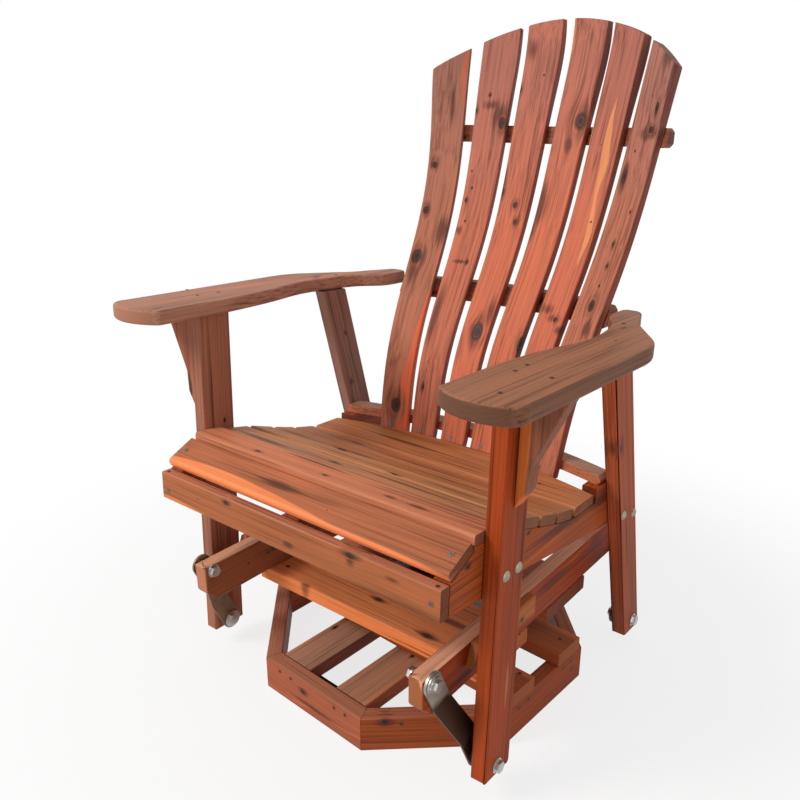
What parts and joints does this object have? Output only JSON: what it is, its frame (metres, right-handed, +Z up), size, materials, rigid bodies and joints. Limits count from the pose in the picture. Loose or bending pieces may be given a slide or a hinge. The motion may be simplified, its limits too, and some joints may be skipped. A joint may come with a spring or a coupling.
{
  "type": "adirondack swivel glider chair",
  "caption": "Slatted wooden adirondack armchair that glides on steel links hung from a carriage, which turns on a ball-bearing swivel over an octagonal wooden floor frame.",
  "frame": {"origin": "on the floor, under the middle of the box around the whole chair at rest; the swivel's vertical axis stands 49 mm in front of it", "axes": "+Z up, the sitter faces -Y, the sitter's left hand is at +X"},
  "size_m": [0.8013, 0.8444, 1.1468],
  "materials": {
    "red_cedar": "red stained knotty cedar with eased edges",
    "zinc_plated_steel": "dull zinc plating",
    "bearing_steel": "polished balls"
  },
  "bodies": {
    "base": {"base_cross_plank_front": "red_cedar", "base_cross_plank_rear": "red_cedar", "base_ledgers": "red_cedar", "base_plank_left": "red_cedar", "base_plank_right": "red_cedar", "base_side_1": "red_cedar", "base_side_2": "red_cedar", "base_side_3": "red_cedar", "base_side_4": "red_cedar", "base_side_5": "red_cedar", "base_side_6": "red_cedar", "base_side_7": "red_cedar", "base_side_8": "red_cedar", "swivel_lower_plate": "zinc_plated_steel", "swivel_balls": "bearing_steel", "swivel_cage": "zinc_plated_steel", "swivel_king_pin": "zinc_plated_steel"},
    "carriage": {"carriage_plank_front": "red_cedar", "carriage_plank_rear": "red_cedar", "carriage_rail_block_left": "red_cedar", "carriage_rail_block_right": "red_cedar", "carriage_rail_left": "red_cedar", "carriage_rail_right": "red_cedar", "swivel_upper_plate": "zinc_plated_steel", "upper_pivot_bolts": "zinc_plated_steel"},
    "front_links": {"front_link_left": "zinc_plated_steel", "front_link_right": "zinc_plated_steel"},
    "rear_links": {"rear_link_left": "zinc_plated_steel", "rear_link_right": "zinc_plated_steel"},
    "seat": {"arm_bracket_left": "red_cedar", "arm_bracket_right": "red_cedar", "arm_left": "red_cedar", "arm_right": "red_cedar", "back_slat_1": "red_cedar", "back_slat_2": "red_cedar", "back_slat_3": "red_cedar", "back_slat_4": "red_cedar", "back_slat_5": "red_cedar", "back_slat_6": "red_cedar", "front_leg_left": "red_cedar", "front_leg_right": "red_cedar", "front_lower_pivot_bolts": "zinc_plated_steel", "leg_bolts": "zinc_plated_steel", "lower_back_rail": "red_cedar", "middle_back_rail": "red_cedar", "rear_leg_left": "red_cedar", "rear_leg_right": "red_cedar", "rear_lower_pivot_bolts": "zinc_plated_steel", "seat_apron": "red_cedar", "seat_centre_stringer": "red_cedar", "seat_nose_slat": "red_cedar", "seat_slat_1": "red_cedar", "seat_slat_2": "red_cedar", "seat_slat_3": "red_cedar", "seat_slat_4": "red_cedar", "seat_slat_5": "red_cedar", "seat_slat_6": "red_cedar", "seat_stringer_left": "red_cedar", "seat_stringer_right": "red_cedar", "upper_back_rail": "red_cedar"}
  },
  "joints": [
    {"name": "swivel", "type": "hinge", "parent": "base", "child": "carriage", "pos_m": [0, -0.04886, 0.113], "axis": [0, 0, 1], "continuous": true},
    {"name": "glide", "type": "hinge", "parent": "carriage", "child": "front_links", "pos_m": [0, -0.35826, 0.223], "axis": [1, 0, 0], "range_deg": [-16, 12]},
    {"name": "seat_tilt", "type": "hinge", "parent": "front_links", "child": "seat", "pos_m": [0, -0.28105, 0.05819], "axis": [1, 0, 0], "range_deg": [-15.2, 20.2]},
    {"name": "rear_link_swing", "type": "hinge", "parent": "carriage", "child": "rear_links", "pos_m": [0, 0.26054, 0.223], "axis": [1, 0, 0], "range_deg": [-15.5, 11.8]}
  ],
  "couplings": [
    {"joint": "seat_tilt", "follows": "glide", "ratio": -1.2432},
    {"joint": "rear_link_swing", "follows": "glide", "ratio": 0.9518}
  ]
}
